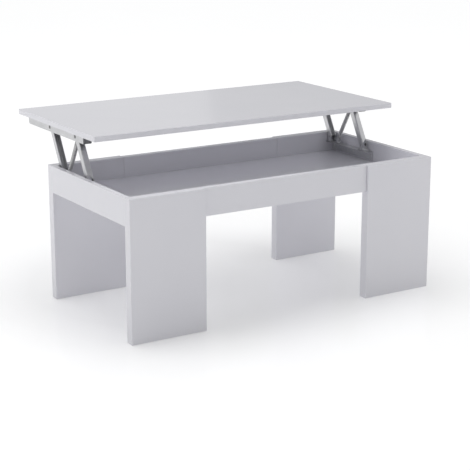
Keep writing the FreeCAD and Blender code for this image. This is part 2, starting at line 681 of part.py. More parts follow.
os.makedirs("parts", exist_ok=True)
for label, thing, solids in subparts:
    thing.Shape.exportStep("parts/%s.step" % label)
    box = thing.Shape.BoundBox
    print("%-32s %7.1f %7.1f %7.1f  %7.1f %7.1f %7.1f" % (label, box.XMin, box.YMin, box.ZMin,
                                                     box.XMax, box.YMax, box.ZMax))
print(len(subparts), "pieces")
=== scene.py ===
import json
import math

import bpy
import numpy as np
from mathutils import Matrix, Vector


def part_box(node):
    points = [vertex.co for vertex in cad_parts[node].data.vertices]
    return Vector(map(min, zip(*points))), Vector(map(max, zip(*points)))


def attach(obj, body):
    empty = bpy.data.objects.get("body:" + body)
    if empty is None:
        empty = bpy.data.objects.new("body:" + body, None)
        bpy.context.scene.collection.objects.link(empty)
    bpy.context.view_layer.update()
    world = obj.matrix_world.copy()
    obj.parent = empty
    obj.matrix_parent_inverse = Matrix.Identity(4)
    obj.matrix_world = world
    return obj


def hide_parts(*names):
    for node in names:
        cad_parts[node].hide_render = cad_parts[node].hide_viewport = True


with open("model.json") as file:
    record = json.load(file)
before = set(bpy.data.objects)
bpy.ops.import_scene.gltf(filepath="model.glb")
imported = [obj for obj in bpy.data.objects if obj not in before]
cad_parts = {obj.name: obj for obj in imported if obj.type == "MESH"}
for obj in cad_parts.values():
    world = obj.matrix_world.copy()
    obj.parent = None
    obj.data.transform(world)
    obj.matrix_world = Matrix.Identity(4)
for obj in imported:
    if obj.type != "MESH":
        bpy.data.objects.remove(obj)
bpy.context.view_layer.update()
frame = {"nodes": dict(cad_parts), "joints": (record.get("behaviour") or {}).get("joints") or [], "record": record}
MM = 0.001

# ---------------------------------------------------------------- surfaces worked out with numpy


def outward(points, faces):
    """Points and faces with every face turned outward: the sum of the faces' volumes is made positive."""
    total = 0.0
    for corners in faces:
        patch = points[corners]
        for second in range(1, corners.shape[1] - 1):
            cross = np.cross(patch[:, second], patch[:, second + 1])
            total += float(np.einsum("ij,ij->", patch[:, 0], cross))
    if total < 0:
        faces = [corners[:, ::-1] for corners in faces]
    return points, faces


def tube_faces(count_along, count_round, close_along=False):
    """Quads of a grid of closed rings, one ring after another, or the last joined to the first."""
    rows = count_along if close_along else count_along - 1
    along, around = np.meshgrid(np.arange(rows), np.arange(count_round), indexing="ij")
    after = (along + 1) % count_along
    beside = (around + 1) % count_round
    quads = np.stack([along * count_round + around, along * count_round + beside,
                      after * count_round + beside, after * count_round + around], axis=-1)
    return quads.reshape(-1, 4)


def capped(rings, close_along=False):
    """A closed shell from rings of points: grid[along, around], with a fan to the mean point at each end."""
    count_along, count_round = rings.shape[:2]
    points = rings.reshape(-1, 3)
    faces = [tube_faces(count_along, count_round, close_along)]
    if not close_along:
        hubs = np.array([rings[0].mean(0), rings[-1].mean(0)])
        points = np.vstack([points, hubs])
        around = np.arange(count_round)
        beside = (around + 1) % count_round
        first, last = count_along * count_round, count_along * count_round + 1
        start = (count_along - 1) * count_round
        faces.append(np.stack([np.full(count_round, first), beside, around], axis=-1))
        faces.append(np.stack([np.full(count_round, last), start + around, start + beside], axis=-1))
    return outward(points, faces)


def frame_of(axis):
    """Two directions square to an axis, and the axis itself, all of unit length."""
    axis = np.asarray(axis, float) / np.linalg.norm(axis)
    helper = np.array([1.0, 0, 0]) if abs(axis[0]) < 0.9 else np.array([0, 1.0, 0])
    side = np.cross(helper, axis)
    side /= np.linalg.norm(side)
    return side, np.cross(axis, side), axis


def turned(profile, centre, axis, steps=32, shape=None):
    """A lathe form: the profile's (radius, height) pairs turned about the axis through the centre.

    shape, where given, changes the radius by a function of angle and height.
    """
    profile = np.asarray(profile, float)
    angle = np.linspace(0, 2 * np.pi, steps, endpoint=False)
    radius = profile[:, :1] + 0 * angle
    height = profile[:, 1:] + 0 * angle
    if shape is not None:
        radius = shape(radius, angle[None, :] + 0 * radius, height)
    side, other, along = frame_of(axis)
    spoke = np.cos(angle)[:, None] * side + np.sin(angle)[:, None] * other
    ring = np.asarray(centre, float) + radius[..., None] * spoke + height[..., None] * along
    return capped(ring)


def crossed_head(centre, axis, radius, height, wide, deep, steps=48, rings=14, flat=False):
    """A screw head: a low dome over (radius, angle), sunk by a soft-edged cross where both arms are narrow.

    The dome's height falls about with the square of the radius, or stays level on a flat head. The cross is
    where the lesser of the two distances from its arms' middle lines is under half the arm's width, and the
    greater is under 0.62 of the head's radius.
    """
    angle = np.linspace(0, 2 * np.pi, steps, endpoint=False)
    share = np.linspace(0.0, 1.0, rings + 1)[1:] ** 0.8
    far, turn = np.meshgrid(share * radius, angle, indexing="ij")
    across, up = far * np.cos(turn), far * np.sin(turn)
    arm = np.minimum(np.abs(across), np.abs(up))
    length = np.maximum(np.abs(across), np.abs(up))
    slot_edge = 0.08 * wide
    slot_reach = 0.62 * radius
    reach_edge = 0.05 * radius
    sink = 1 / (1 + np.exp((arm - wide / 2) / slot_edge)) / (1 + np.exp((length - slot_reach) / reach_edge))
    fall = 0.0 if flat else 0.45
    rise = height * (1 - fall * (far / radius) ** 2.2) - deep * sink
    side, other, along = frame_of(axis)
    level = np.asarray(centre, float) + across[..., None] * side + up[..., None] * other
    return capped(np.concatenate([level + rise[..., None] * along, level[-1:]], axis=0))


def threaded(centre, axis, radius, length, pitch, deep=0.12, steps=20):
    """A screw shank: a radius and a ridge that winds once round per pitch, tapered toward its far end."""
    count = max(8, int(length / pitch * 8))
    height = np.linspace(0, length, count)
    taper = np.clip((length - height) / (3 * radius), 0.12, 1)
    angle = np.linspace(0, 2 * np.pi, steps, endpoint=False)
    ridge = 1 + deep * np.cos(2 * np.pi * height[:, None] / pitch - angle[None, :])
    reach = radius * 0.9 * taper[:, None] * ridge
    side, other, along = frame_of(axis)
    ring = (np.asarray(centre, float) + (reach * np.cos(angle))[..., None] * side
            + (reach * np.sin(angle))[..., None] * other + height[:, None, None] * along)
    return capped(ring)


def wire(path, reference, radius, steps=8, close=False):
    """A round wire along a path: rings square to the path, set out from the reference direction."""
    path = np.asarray(path, float)
    if close:
        ahead = np.roll(path, -1, axis=0) - np.roll(path, 1, axis=0)
    else:
        ahead = np.gradient(path, axis=0)
    ahead /= np.linalg.norm(ahead, axis=1)[:, None]
    reference = np.broadcast_to(np.asarray(reference, float), path.shape)
    first = reference - np.einsum("ij,ij->i", reference, ahead)[:, None] * ahead
    first /= np.linalg.norm(first, axis=1)[:, None]
    second = np.cross(ahead, first)
    angle = np.linspace(0, 2 * np.pi, steps, endpoint=False)
    ring = (path[:, None, :] + radius * np.cos(angle)[None, :, None] * first[:, None, :]
            + radius * np.sin(angle)[None, :, None] * second[:, None, :])
    return capped(ring, close_along=close)


def bent_strip(runs, bend, arc_steps=5, run_steps=10):
    """The middle line of a folded sheet: straight runs between corners, each corner rounded by an arc.

    Returns the points and the directions square to them, both in the plane of the fold.
    """
    corners = np.asarray(runs, float)
    points = []
    normals = []
    count = len(corners)
    starts = [corners[0]]
    for index in range(1, count - 1):
        back = corners[index - 1] - corners[index]
        onward = corners[index + 1] - corners[index]
        back /= np.linalg.norm(back)
        onward /= np.linalg.norm(onward)
        starts.append((corners[index] + bend * back, corners[index] + bend * onward, back, onward))
    place = corners[0]
    for index in range(1, count):
        target = starts[index][0] if index < count - 1 else corners[-1]
        step = np.linspace(0, 1, run_steps)[:, None]
        points.append(place + (target - place) * step)
        ahead = (target - place) / np.linalg.norm(target - place)
        normals.append(np.tile([ahead[1], -ahead[0]], (run_steps, 1)))
        if index < count - 1:
            entry, leave, back, onward = starts[index]
            centre = entry + bend * onward
            turn = np.linspace(0, np.pi / 2, arc_steps + 2)[1:-1, None]
            points.append(centre - bend * onward * np.cos(turn) - bend * back * np.sin(turn))
            spin = -onward * np.cos(turn) - back * np.sin(turn)
            sign = 1.0 if np.dot([ahead[1], -ahead[0]], -onward) > 0 else -1.0
            normals.append(sign * spin)
            place = leave
    return np.vstack(points), np.vstack(normals)


def folded_sheet(line, normals, thick, low, high, steps=24, swell=None):
    """A folded sheet: its middle line moved half the thickness both ways and drawn out from low to high.

    low and high give the sheet's two ends for each point of the line, so an end may be rounded or slanted.
    swell, where given, raises the sheet by a function of the line's position and the distance along.
    Returned points are (across, deep, along), to be placed by the caller.
    """
    count = len(line)
    share = np.linspace(0, 1, steps)[:, None]
    along = low[None, :] + (high - low)[None, :] * share
    lift = 0 * along
    if swell is not None:
        lift = swell(np.linspace(0, 1, count)[None, :] + 0 * along, along)
    outer = line[None] + normals[None] * (thick / 2 + lift)[..., None]
    inner = line[None] + normals[None] * (lift - thick / 2)[..., None]
    loop = np.concatenate([outer, inner[:, ::-1]], axis=1)
    reach = np.concatenate([along, along[:, ::-1]], axis=1)
    grid = np.concatenate([loop, reach[..., None]], axis=2)
    points = grid.reshape(-1, 3)
    ring = 2 * count
    faces = [tube_faces(steps, ring)]
    number = np.arange(count - 1)
    for start, flip in ((0, 1), ((steps - 1) * ring, -1)):
        ends = np.stack([start + number, start + ring - 1 - number,
                         start + ring - 2 - number, start + number + 1], axis=-1)
        faces.append(ends[:, ::flip])
    return outward(points, faces)


def placed(shell, across, deep, along, centre):
    """A shell moved to a centre, with its three numbers run along the three given directions."""
    points, faces = shell
    turn = np.array([across, deep, along], float)
    return outward(points @ turn + np.asarray(centre, float), faces)


def piece(name, shells, material, body, nodes=(), sharp=38.0):
    """One named object made of closed shells, riding on its body and standing for its CAD nodes."""
    points = []
    faces = []
    start = 0
    for shell_points, shell_faces in shells:
        points.append(shell_points)
        for corners in shell_faces:
            faces.extend((corners + start).tolist())
        start += len(shell_points)
    mesh = bpy.data.meshes.new(name)
    mesh.from_pydata(np.vstack(points).tolist(), [], faces)
    mesh.update()
    mesh.polygons.foreach_set("use_smooth", np.ones(len(mesh.polygons), bool))
    mesh.set_sharp_from_angle(angle=math.radians(sharp))
    mesh.materials.append(material)
    thing = bpy.data.objects.new(name, mesh)
    bpy.context.scene.collection.objects.link(thing)
    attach(thing, body)
    if nodes:
        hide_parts(*nodes)
    return thing


# ---------------------------------------------------------------- materials


def new_material(name):
    """An empty node material and its shader."""
    material = bpy.data.materials.new(name)
    material.use_nodes = True
    tree = material.node_tree
    tree.nodes.clear()
    output = tree.nodes.new("ShaderNodeOutputMaterial")
    shader = tree.nodes.new("ShaderNodeBsdfPrincipled")
    tree.links.new(shader.outputs["BSDF"], output.inputs["Surface"])
    place = tree.nodes.new("ShaderNodeTexCoord")
    return material, tree, shader, place


def noise(tree, place, scale, detail=3.0, stretch=(1, 1, 1), rough=0.5):
    """Noise on the object's own coordinates, stretched along an axis where wanted."""
    mapping = tree.nodes.new("ShaderNodeMapping")
    mapping.inputs["Scale"].default_value = stretch
    tree.links.new(place.outputs["Object"], mapping.inputs["Vector"])
    texture = tree.nodes.new("ShaderNodeTexNoise")
    texture.inputs["Scale"].default_value = scale
    texture.inputs["Detail"].default_value = detail
    texture.inputs["Roughness"].default_value = rough
    tree.links.new(mapping.outputs["Vector"], texture.inputs["Vector"])
    return texture.outputs["Fac"]


def ramp(tree, value, stops):
    """A colour ramp through (position, colour) stops."""
    node = tree.nodes.new("ShaderNodeValToRGB")
    bar = node.color_ramp
    while len(bar.elements) < len(stops):
        bar.elements.new(0.5)
    for element, (position, colour) in zip(bar.elements, stops):
        element.position = position
        element.color = (*colour, 1) if len(colour) == 3 else colour
    tree.links.new(value, node.inputs["Fac"])
    return node.outputs["Color"]


def spread(tree, value, low, high):
    """A value carried from 0..1 to low..high."""
    node = tree.nodes.new("ShaderNodeMapRange")
    node.inputs["To Min"].default_value = low
    node.inputs["To Max"].default_value = high
    tree.links.new(value, node.inputs["Value"])
    return node.outputs["Result"]


def bumped(tree, shader, layers):
    """Bump layers one over another: (value, strength, distance)."""
    last = None
    for value, strength, distance in layers:
        node = tree.nodes.new("ShaderNodeBump")
        node.inputs["Strength"].default_value = strength
        node.inputs["Distance"].default_value = distance
        tree.links.new(value, node.inputs["Height"])
        if last is not None:
            tree.links.new(last, node.inputs["Normal"])
        last = node.outputs["Normal"]
    tree.links.new(last, shader.inputs["Normal"])


def grey(value, tint=(1.0, 1.0, 1.0)):
    """A grey with a light tint."""
    return tuple(value * part for part in tint)


def gloss_white_board(name, tone=0.80, roughness=(0.14, 0.22)):
    """White foil and lacquer on board: faint clouding, fine orange peel and a thin clear coat."""
    material, tree, shader, place = new_material(name)
    cloud = noise(tree, place, 3.5, 4.0)
    fleck = noise(tree, place, 160.0, 2.0)
    peel = noise(tree, place, 420.0, 2.0)
    sway = noise(tree, place, 26.0, 1.0)
    shade = ramp(tree, cloud, [(0.3, grey(tone * 0.985, (0.980, 0.976, 1.034))),
                               (0.7, grey(tone * 1.01, (0.986, 0.980, 1.032)))])
    tree.links.new(shade, shader.inputs["Base Color"])
    tree.links.new(spread(tree, fleck, *roughness), shader.inputs["Roughness"])
    shader.inputs["Specular IOR Level"].default_value = 0.5
    shader.inputs["Coat Weight"].default_value = 0.25
    shader.inputs["Coat Roughness"].default_value = 0.06
    bumped(tree, shader, [(sway, 0.03, 0.0006), (peel, 0.05, 0.0001)])
    return material


def powder_coat(name, tone=0.60):
    """Silver grey powder coat on steel: fine pebbling, small sparkle and a little wear."""
    material, tree, shader, place = new_material(name)
    pebble = noise(tree, place, 900.0, 2.0)
    cloud = noise(tree, place, 22.0, 4.0)
    glint = noise(tree, place, 2400.0, 1.0)
    shade = ramp(tree, cloud, [(0.3, grey(tone * 0.93, (0.99, 1.0, 1.02))),
                               (0.7, grey(tone * 1.06, (1.0, 1.0, 1.015)))])
    tree.links.new(shade, shader.inputs["Base Color"])
    shader.inputs["Metallic"].default_value = 0.85
    tree.links.new(spread(tree, glint, 0.24, 0.36), shader.inputs["Roughness"])
    bumped(tree, shader, [(pebble, 0.12, 0.00012)])
    return material


def zinc_plate(name, tone=0.62):
    """Plated or blackened steel: fine turning marks and soft blotches."""
    material, tree, shader, place = new_material(name)
    marks = noise(tree, place, 500.0, 2.0, stretch=(1, 1, 6))
    blotch = noise(tree, place, 70.0, 3.0)
    shade = ramp(tree, blotch, [(0.3, grey(tone * 0.9, (1.0, 1.0, 1.03))),
                                (0.7, grey(tone * 1.05, (1.0, 0.995, 0.98)))])
    tree.links.new(shade, shader.inputs["Base Color"])
    shader.inputs["Metallic"].default_value = 1.0
    tree.links.new(spread(tree, marks, 0.24, 0.42), shader.inputs["Roughness"])
    bumped(tree, shader, [(marks, 0.06, 0.00005)])
    return material


def spring_wire(name, tone=0.62):
    """Drawn spring wire: bright, slightly oiled, with fine draw lines."""
    material, tree, shader, place = new_material(name)
    lines = noise(tree, place, 1200.0, 2.0)
    oil = noise(tree, place, 60.0, 3.0)
    shade = ramp(tree, oil, [(0.35, grey(tone * 0.85)), (0.65, grey(tone * 1.1, (1.0, 1.0, 1.01)))])
    tree.links.new(shade, shader.inputs["Base Color"])
    shader.inputs["Metallic"].default_value = 0.9
    tree.links.new(spread(tree, lines, 0.25, 0.4), shader.inputs["Roughness"])
    bumped(tree, shader, [(lines, 0.05, 0.00004)])
    return material


def beech(name):
    """Plain beech: long pale grain with short darker flecks."""
    material, tree, shader, place = new_material(name)
    grain = noise(tree, place, 320.0, 4.0, stretch=(0.15, 0.15, 1))
    fleck = noise(tree, place, 900.0, 2.0, stretch=(0.4, 0.4, 1))
    shade = ramp(tree, grain, [(0.3, (0.62, 0.44, 0.27)), (0.7, (0.74, 0.56, 0.37))])
    tree.links.new(shade, shader.inputs["Base Color"])
    shader.inputs["Roughness"].default_value = 0.6
    bumped(tree, shader, [(fleck, 0.1, 0.0001)])
    return material


def moulded_plastic(name, colour, gloss):
    """Moulded plastic: even colour with a fine spark-eroded grain."""
    material, tree, shader, place = new_material(name)
    grain = noise(tree, place, 1500.0, 2.0)
    cloud = noise(tree, place, 40.0, 2.0)
    shade = ramp(tree, cloud, [(0.3, grey(0.96, colour)), (0.7, grey(1.02, colour))])
    tree.links.new(shade, shader.inputs["Base Color"])
    tree.links.new(spread(tree, grain, gloss, gloss + 0.12), shader.inputs["Roughness"])
    bumped(tree, shader, [(grain, 0.08, 0.00006)])
    return material


WHITE = gloss_white_board("gloss_white_board")
STEEL = powder_coat("silver_powder_coat")
ZINC = zinc_plate("zinc_plate")
PIVOT = zinc_plate("blackened_steel", 0.19)
WIRE = spring_wire("spring_wire")
BEECH = beech("beech_dowel")
GLIDE = moulded_plastic("glide_plastic", (0.78, 0.78, 0.79), 0.38)
CAP = moulded_plastic("dark_plastic", (0.150, 0.150, 0.158), 0.42)
BUMPER = moulded_plastic("soft_bumper", (0.74, 0.75, 0.76), 0.2)
BUMPER.node_tree.nodes["Principled BSDF"].inputs["Transmission Weight"].default_value = 0.4

FINISH = {"white_board": WHITE, "grey_steel": STEEL, "zinc_steel": ZINC, "spring_steel": WIRE,
          "beech_dowel": BEECH, "pivot_steel": PIVOT, "dark_plastic": CAP, "glide_plastic": GLIDE,
          "bumper_rubber": BUMPER}
for entry in frame["record"]["subparts"]:
    node = frame["nodes"][entry["node"]]
    node.data.materials.clear()
    node.data.materials.append(FINISH[entry["material_slot"]])

# ---------------------------------------------------------------- pieces
JOINTS = {joint["name"]: joint for joint in frame["joints"]}


def pivot(name):
    """A joint's pivot in the row's frame."""
    return np.array(JOINTS[name]["pos_m"], float)


def half_width(node):
    """Half of a node's size across the table."""
    low_corner, high_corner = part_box(node)
    return (high_corner[0] - low_corner[0]) / 2


# sizes that the lift's pieces share: half widths from the frame, then sheet, bends, arm webs, screws, play
SHEET = 1.5 * MM
ARM_HALF = half_width("arm_rear_left")
EAR_OUT = half_width("clevis_front_left")
RAIL_OUT = half_width("rail_left")
COIL_OUT = half_width("spring_lower_left")
PIN = 3 * MM
RIVET_INNER = ARM_HALF - SHEET - 0.85 * MM
ARM_DEPTH = 18 * MM
SHEET_BEND = 2.2 * MM
WEB_FOOT = 9.5 * MM
WEB_SLOPE = 0.84
WEB_HEAD = 8 * MM
PLATE = 2 * MM
SCREW_HEAD = 3.5 * MM
SCREW_SHANK = 1.75 * MM
SCREW_PITCH = 1.6 * MM
SCREW_GRIP = 12 * MM
EASE = 0.15 * MM


def smooth(value):
    """Goes from 0 to 1 along the curve 3v^2 - 2v^3 as the value goes from 0 to 1, flat outside."""
    value = np.clip(value, 0, 1)
    return value * value * (3 - 2 * value)


def arm(name, foot, head, front):
    """A folded arm from pivot to pivot: two flanges with round ends about the pivots, joined by a web.

    A flange ends where a circle of half the arm's depth about the pivot ends. The web ends short of that:
    the rear arm's squarely, the front arm's on a slant that rises toward the table's end.
    """
    reach = float(np.linalg.norm(head - foot))
    along = (head - foot) / reach
    across = np.array([1.0, 0, 0])
    deep = np.cross(along, across)
    if deep[1] < 0:
        deep = -deep
    half_deep = ARM_DEPTH / 2
    side = -1.0 if front else 1.0
    web = side * (half_deep - SHEET / 2)
    edge = ARM_HALF - SHEET / 2
    tip = -side * half_deep
    line, normals = bent_strip([(-edge, tip), (-edge, web), (edge, web), (edge, tip)], SHEET_BEND,
                               run_steps=16)
    bulge = np.sqrt(np.clip(half_deep ** 2 - line[:, 1] ** 2, 0, None))
    onto_web = smooth((line[:, 1] * side - 5.0 * MM) / (3.0 * MM))
    outer = 1.0 if foot[0] > 0 else -1.0
    slant = WEB_FOOT + WEB_SLOPE * outer * line[:, 0] if front else 0 * line[:, 0]
    low = -bulge * (1 - onto_web) + slant * onto_web
    high = (reach + bulge) * (1 - onto_web) + (reach - WEB_HEAD) * onto_web
    shell = folded_sheet(line, normals, SHEET, low, high, steps=40)
    return piece(name, [placed(shell, across, deep, along, foot)], STEEL, name, [name])


def rail(name):
    """The rail under the top: a channel open below, its profile carried along the rail.

    Its walls' lower rear corners are quarter circles.
    """
    low_corner, high_corner = (np.array(corner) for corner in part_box(name))
    middle = (low_corner + high_corner) / 2
    edge = RAIL_OUT - SHEET / 2
    roof = high_corner[2] - SHEET / 2
    line, normals = bent_strip([(-edge, low_corner[2]), (-edge, roof), (edge, roof), (edge, low_corner[2])],
                               SHEET_BEND, run_steps=14)
    rounding = 5 * MM
    lift = np.clip(rounding - (line[:, 1] - low_corner[2]), 0, None)
    rear = high_corner[1] - rounding + np.sqrt(np.clip(rounding ** 2 - lift ** 2, 0, None))
    front = low_corner[1] + 0 * rear
    points, faces = folded_sheet(line, normals, SHEET, front, rear, steps=60)
    channel = outward(np.stack([points[:, 0] + middle[0], points[:, 2], points[:, 1]], axis=1), faces)
    return piece(name + "_channel", [channel], STEEL, "top", [name])


def rail_cap(low_corner, high_corner):
    """A moulded end cap: a face with a softly rounded rim, and a ribbed plug behind it.

    Its sections are superellipses, nearly rectangles, whose half sizes change with the depth.
    """
    middle = (low_corner + high_corner) / 2
    wide, long, tall = (high_corner - low_corner) / (2, 1, 2)
    rim = 0.7 * MM
    plug_wide = wide - SHEET - EASE
    plug_tall = tall - SHEET / 2 - EASE
    drop = SHEET / 2
    rib = 0.2 * MM
    turn = np.linspace(0, np.pi / 2, 5)
    inset = rim * (1 - np.sin(turn))
    stations = [np.stack([wide - inset, tall - inset, rim * (1 - np.cos(turn)), 0 * turn], axis=1)]
    stations.append([(wide, tall, PLATE, 0.0), (plug_wide - 2 * rib, plug_tall - 2 * rib, PLATE, drop)])
    share = np.linspace(0.04, 0.9, 22)
    ribs = rib * (1 + np.cos(6 * np.pi * share))
    stations.append(np.stack([plug_wide - ribs, plug_tall - ribs, PLATE + (long - PLATE) * share,
                              0 * share + drop], axis=1))
    stations.append([(plug_wide - 5 * rib, plug_tall - 5 * rib, long, drop)])
    stations = np.vstack(stations)
    angle = np.linspace(0, 2 * np.pi, 96, endpoint=False)
    squareness = 2 / 16.0
    across = np.sign(np.cos(angle)) * np.abs(np.cos(angle)) ** squareness
    upward = np.sign(np.sin(angle)) * np.abs(np.sin(angle)) ** squareness
    grid = np.stack([middle[0] + stations[:, :1] * across, low_corner[1] + stations[:, 2:3] + 0 * across,
                     middle[2] - stations[:, 3:4] + stations[:, 1:2] * upward], axis=-1)
    return capped(grid)


def bracket(name, outer):
    """The angle bracket on the end apron, with one long bead pressed down into its shelf.

    The bead's depth is a smooth hump across the shelf times a flat-topped hump along it, and the wall's lower
    corners are quarter circles.
    """
    low_corner, high_corner = (np.array(corner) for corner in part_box(name))
    wall = (high_corner[0] - PLATE / 2) if outer > 0 else (low_corner[0] + PLATE / 2)
    lip = low_corner[0] if outer > 0 else high_corner[0]
    shelf = high_corner[2] - PLATE / 2
    line, normals = bent_strip([(wall, low_corner[2]), (wall, shelf), (lip, shelf)], 2.6 * MM, run_steps=26)
    down = np.sign(normals[-1, 1])

    def bead(share, along):
        """How far the shelf is pressed in: a hump over the share of the run, times one along the bracket."""
        across_bead = smooth(1 - np.abs(share - 0.80) / 0.07)
        first = low_corner[1] + 52 * MM
        last = low_corner[1] + 146 * MM
        along_bead = smooth((along - first) / (6 * MM)) * smooth((last - along) / (6 * MM))
        return -down * 0.9 * MM * across_bead * along_bead

    round_off = 4 * MM
    lift = np.clip(round_off - (line[:, 1] - low_corner[2]), 0, None)
    cut_back = round_off - np.sqrt(np.clip(round_off ** 2 - lift ** 2, 0, None))
    points, faces = folded_sheet(line, normals, PLATE, low_corner[1] + cut_back, high_corner[1] - cut_back,
                                 steps=120, swell=bead)
    points = np.stack([points[:, 0], points[:, 2], points[:, 1]], axis=1)
    return piece(name + "_angle", [outward(points, faces)], STEEL, "base", [name])


def fork(name, centre, gap, thick, ear, base_half):
    """A U of sheet that stands on the shelf: two ears with round tops about the pivot, flaring to the base.

    An ear's half width is the circle about the pivot above it, constant below it, and grows by a smooth
    step toward the base plate.
    """
    flare_height = 6 * MM
    floor_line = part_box(name)[0][2] + thick / 2
    edge = gap / 2 + thick / 2
    top = centre[2] + ear
    line, normals = bent_strip([(-edge, top), (-edge, floor_line), (edge, floor_line), (edge, top)],
                               1.6 * MM, run_steps=36)
    above = np.clip(line[:, 1] - centre[2], 0, None)
    wide = np.sqrt(np.clip(ear ** 2 - above ** 2, (0.03 * ear) ** 2, None))
    flare = smooth((floor_line + flare_height - line[:, 1]) / flare_height)
    wide = wide * (1 - flare) + base_half * flare
    points, faces = folded_sheet(line, normals, thick, -wide, wide, steps=16)
    points = np.stack([points[:, 0] + centre[0], points[:, 2] + centre[1], points[:, 1]], axis=1)
    return piece(name + "_fork", [outward(points, faces)], STEEL, "base", [name])


def stop_lug(name, foot, head):
    """The raised top's stop: a bar of rounded section standing on the clevis plate, slanted like the arm.

    The section is a superellipse, and the foot is cut level by giving each edge point its own length.
    """
    half_wide = 6 * MM
    half_thick = 1.5 * MM
    rounding = 0.6 * MM
    along = (head - foot) / np.linalg.norm(head - foot)
    across = np.array([1.0, 0, 0])
    deep = np.cross(along, across)
    if deep[1] < 0:
        deep = -deep
    angle = np.linspace(0, 2 * np.pi, 48, endpoint=False)
    squareness = 2 / 6.0
    wide = half_wide * np.sign(np.cos(angle)) * np.abs(np.cos(angle)) ** squareness
    thick = half_thick * np.sign(np.sin(angle)) * np.abs(np.sin(angle)) ** squareness
    offset = 10.8 * MM
    start = (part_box(name)[0][2] - foot[2] - (offset + thick) * deep[2]) / along[2]
    top = 4.9 * MM
    share = np.concatenate([np.linspace(0, 1, 8), np.ones(5)])
    shrink = np.concatenate([np.ones(8), np.sqrt(1 - np.linspace(0.2, 0.98, 5) ** 2)])
    extra = np.concatenate([np.zeros(8), rounding * np.linspace(0.2, 0.98, 5)])
    height = start[None, :] + (top - rounding - start[None, :]) * share[:, None] + extra[:, None]
    inset = (1 - shrink[:, None]) * rounding
    xs = wide[None, :] - np.sign(wide)[None, :] * inset * np.abs(wide)[None, :] / half_wide
    ys = offset + thick[None, :] - np.sign(thick)[None, :] * inset * np.abs(thick)[None, :] / half_thick
    grid = np.stack([xs, ys, height], axis=-1)
    points, faces = capped(grid)
    turn = np.array([across, deep, along])
    return piece(name + "_lug", [outward(points @ turn + foot, faces)], STEEL, "base", [name])


def coil_spring(side):
    """Two halves of the lift spring, wound into each other's gaps.

    Each is a helix of the same pitch about the line between the two hooks, half a turn apart, and ends in a
    straight run and an eye about its pin.
    """
    foot = pivot("spring_low_" + side)
    head = pivot("spring_high_" + side)
    span = float(np.linalg.norm(head - foot))
    along = (head - foot) / span
    across = np.array([1.0, 0, 0])
    beside = np.cross(along, across)
    gauge = 0.8 * MM
    mean = COIL_OUT - gauge
    first = 12.8 * MM
    last = span - first
    turns = 31.5
    count = int(turns * 24)
    angle = np.linspace(0, 2 * np.pi * turns, count)

    def at(distance, radius, turn):
        """A point at a distance along the spring's line, at a radius and an angle round it."""
        distance, radius, turn = np.broadcast_arrays(distance, radius, turn)
        return (foot + distance[:, None] * along + (radius * np.cos(turn))[:, None] * beside
                + (radius * np.sin(turn))[:, None] * across)

    for half, offset, pin in (("lower", 0.0, 2.0 * MM), ("upper", np.pi, 3.0 * MM)):
        coil = wire(at(np.linspace(first, last, count), mean, angle + offset), along, gauge, steps=8)
        eye = pin + 0.05 * MM + gauge
        lead = np.linspace(0, 1, 14)
        end = 0.0 if half == "lower" else span
        sign = 1.0 if half == "lower" else -1.0
        begin = first if half == "lower" else last
        reach_in = np.linspace(begin, end + sign * 8 * MM, 14)
        run_in = at(reach_in, mean + (eye - mean) * smooth(lead), 0 * lead)
        run = at(np.linspace(end + sign * 7.4 * MM, end + sign * 0.6 * MM, 8), eye, 0.0)
        bend = np.linspace(0, math.radians(325), 40)
        hub = foot if half == "lower" else head
        loop = hub + eye * (np.cos(bend)[:, None] * beside - sign * np.sin(bend)[:, None] * along)
        hook = wire(np.vstack([run_in, run, loop]), across, gauge, steps=10)
        name = "spring_%s_%s" % (half, side)
        piece(name + "_coil", [coil, hook], WIRE, name, [name], sharp=60)


def dome(radius, height, rim=0.25, steps=8):
    """Profile of a rivet head: a short rim, then a quarter ellipse up to the pole."""
    turn = np.linspace(0, np.pi / 2, steps)[:-1]
    rise = height * (1 - rim)
    return ([(radius, 0.0)] + [(radius * math.cos(a), height * rim + rise * math.sin(a)) for a in turn]
            + [(0.03 * radius, height)])


def ring_piece(centre, inner, outer, wide):
    """A plain ring about X: a rounded rectangle carried round a circle."""
    angle = np.linspace(0, 2 * np.pi, 40, endpoint=False)
    turn = np.linspace(0, 2 * np.pi, 24, endpoint=False)
    power = 2 / 5.0
    radial = (inner + outer) / 2 + (outer - inner) / 2 * np.sign(np.cos(turn)) * np.abs(np.cos(turn)) ** power
    axial = wide / 2 * np.sign(np.sin(turn)) * np.abs(np.sin(turn)) ** power
    grid = np.stack([axial[None, :] + 0 * angle[:, None], radial[None, :] * np.cos(angle)[:, None],
                     radial[None, :] * np.sin(angle)[:, None]], axis=-1)
    return capped(grid + np.asarray(centre), close_along=True)


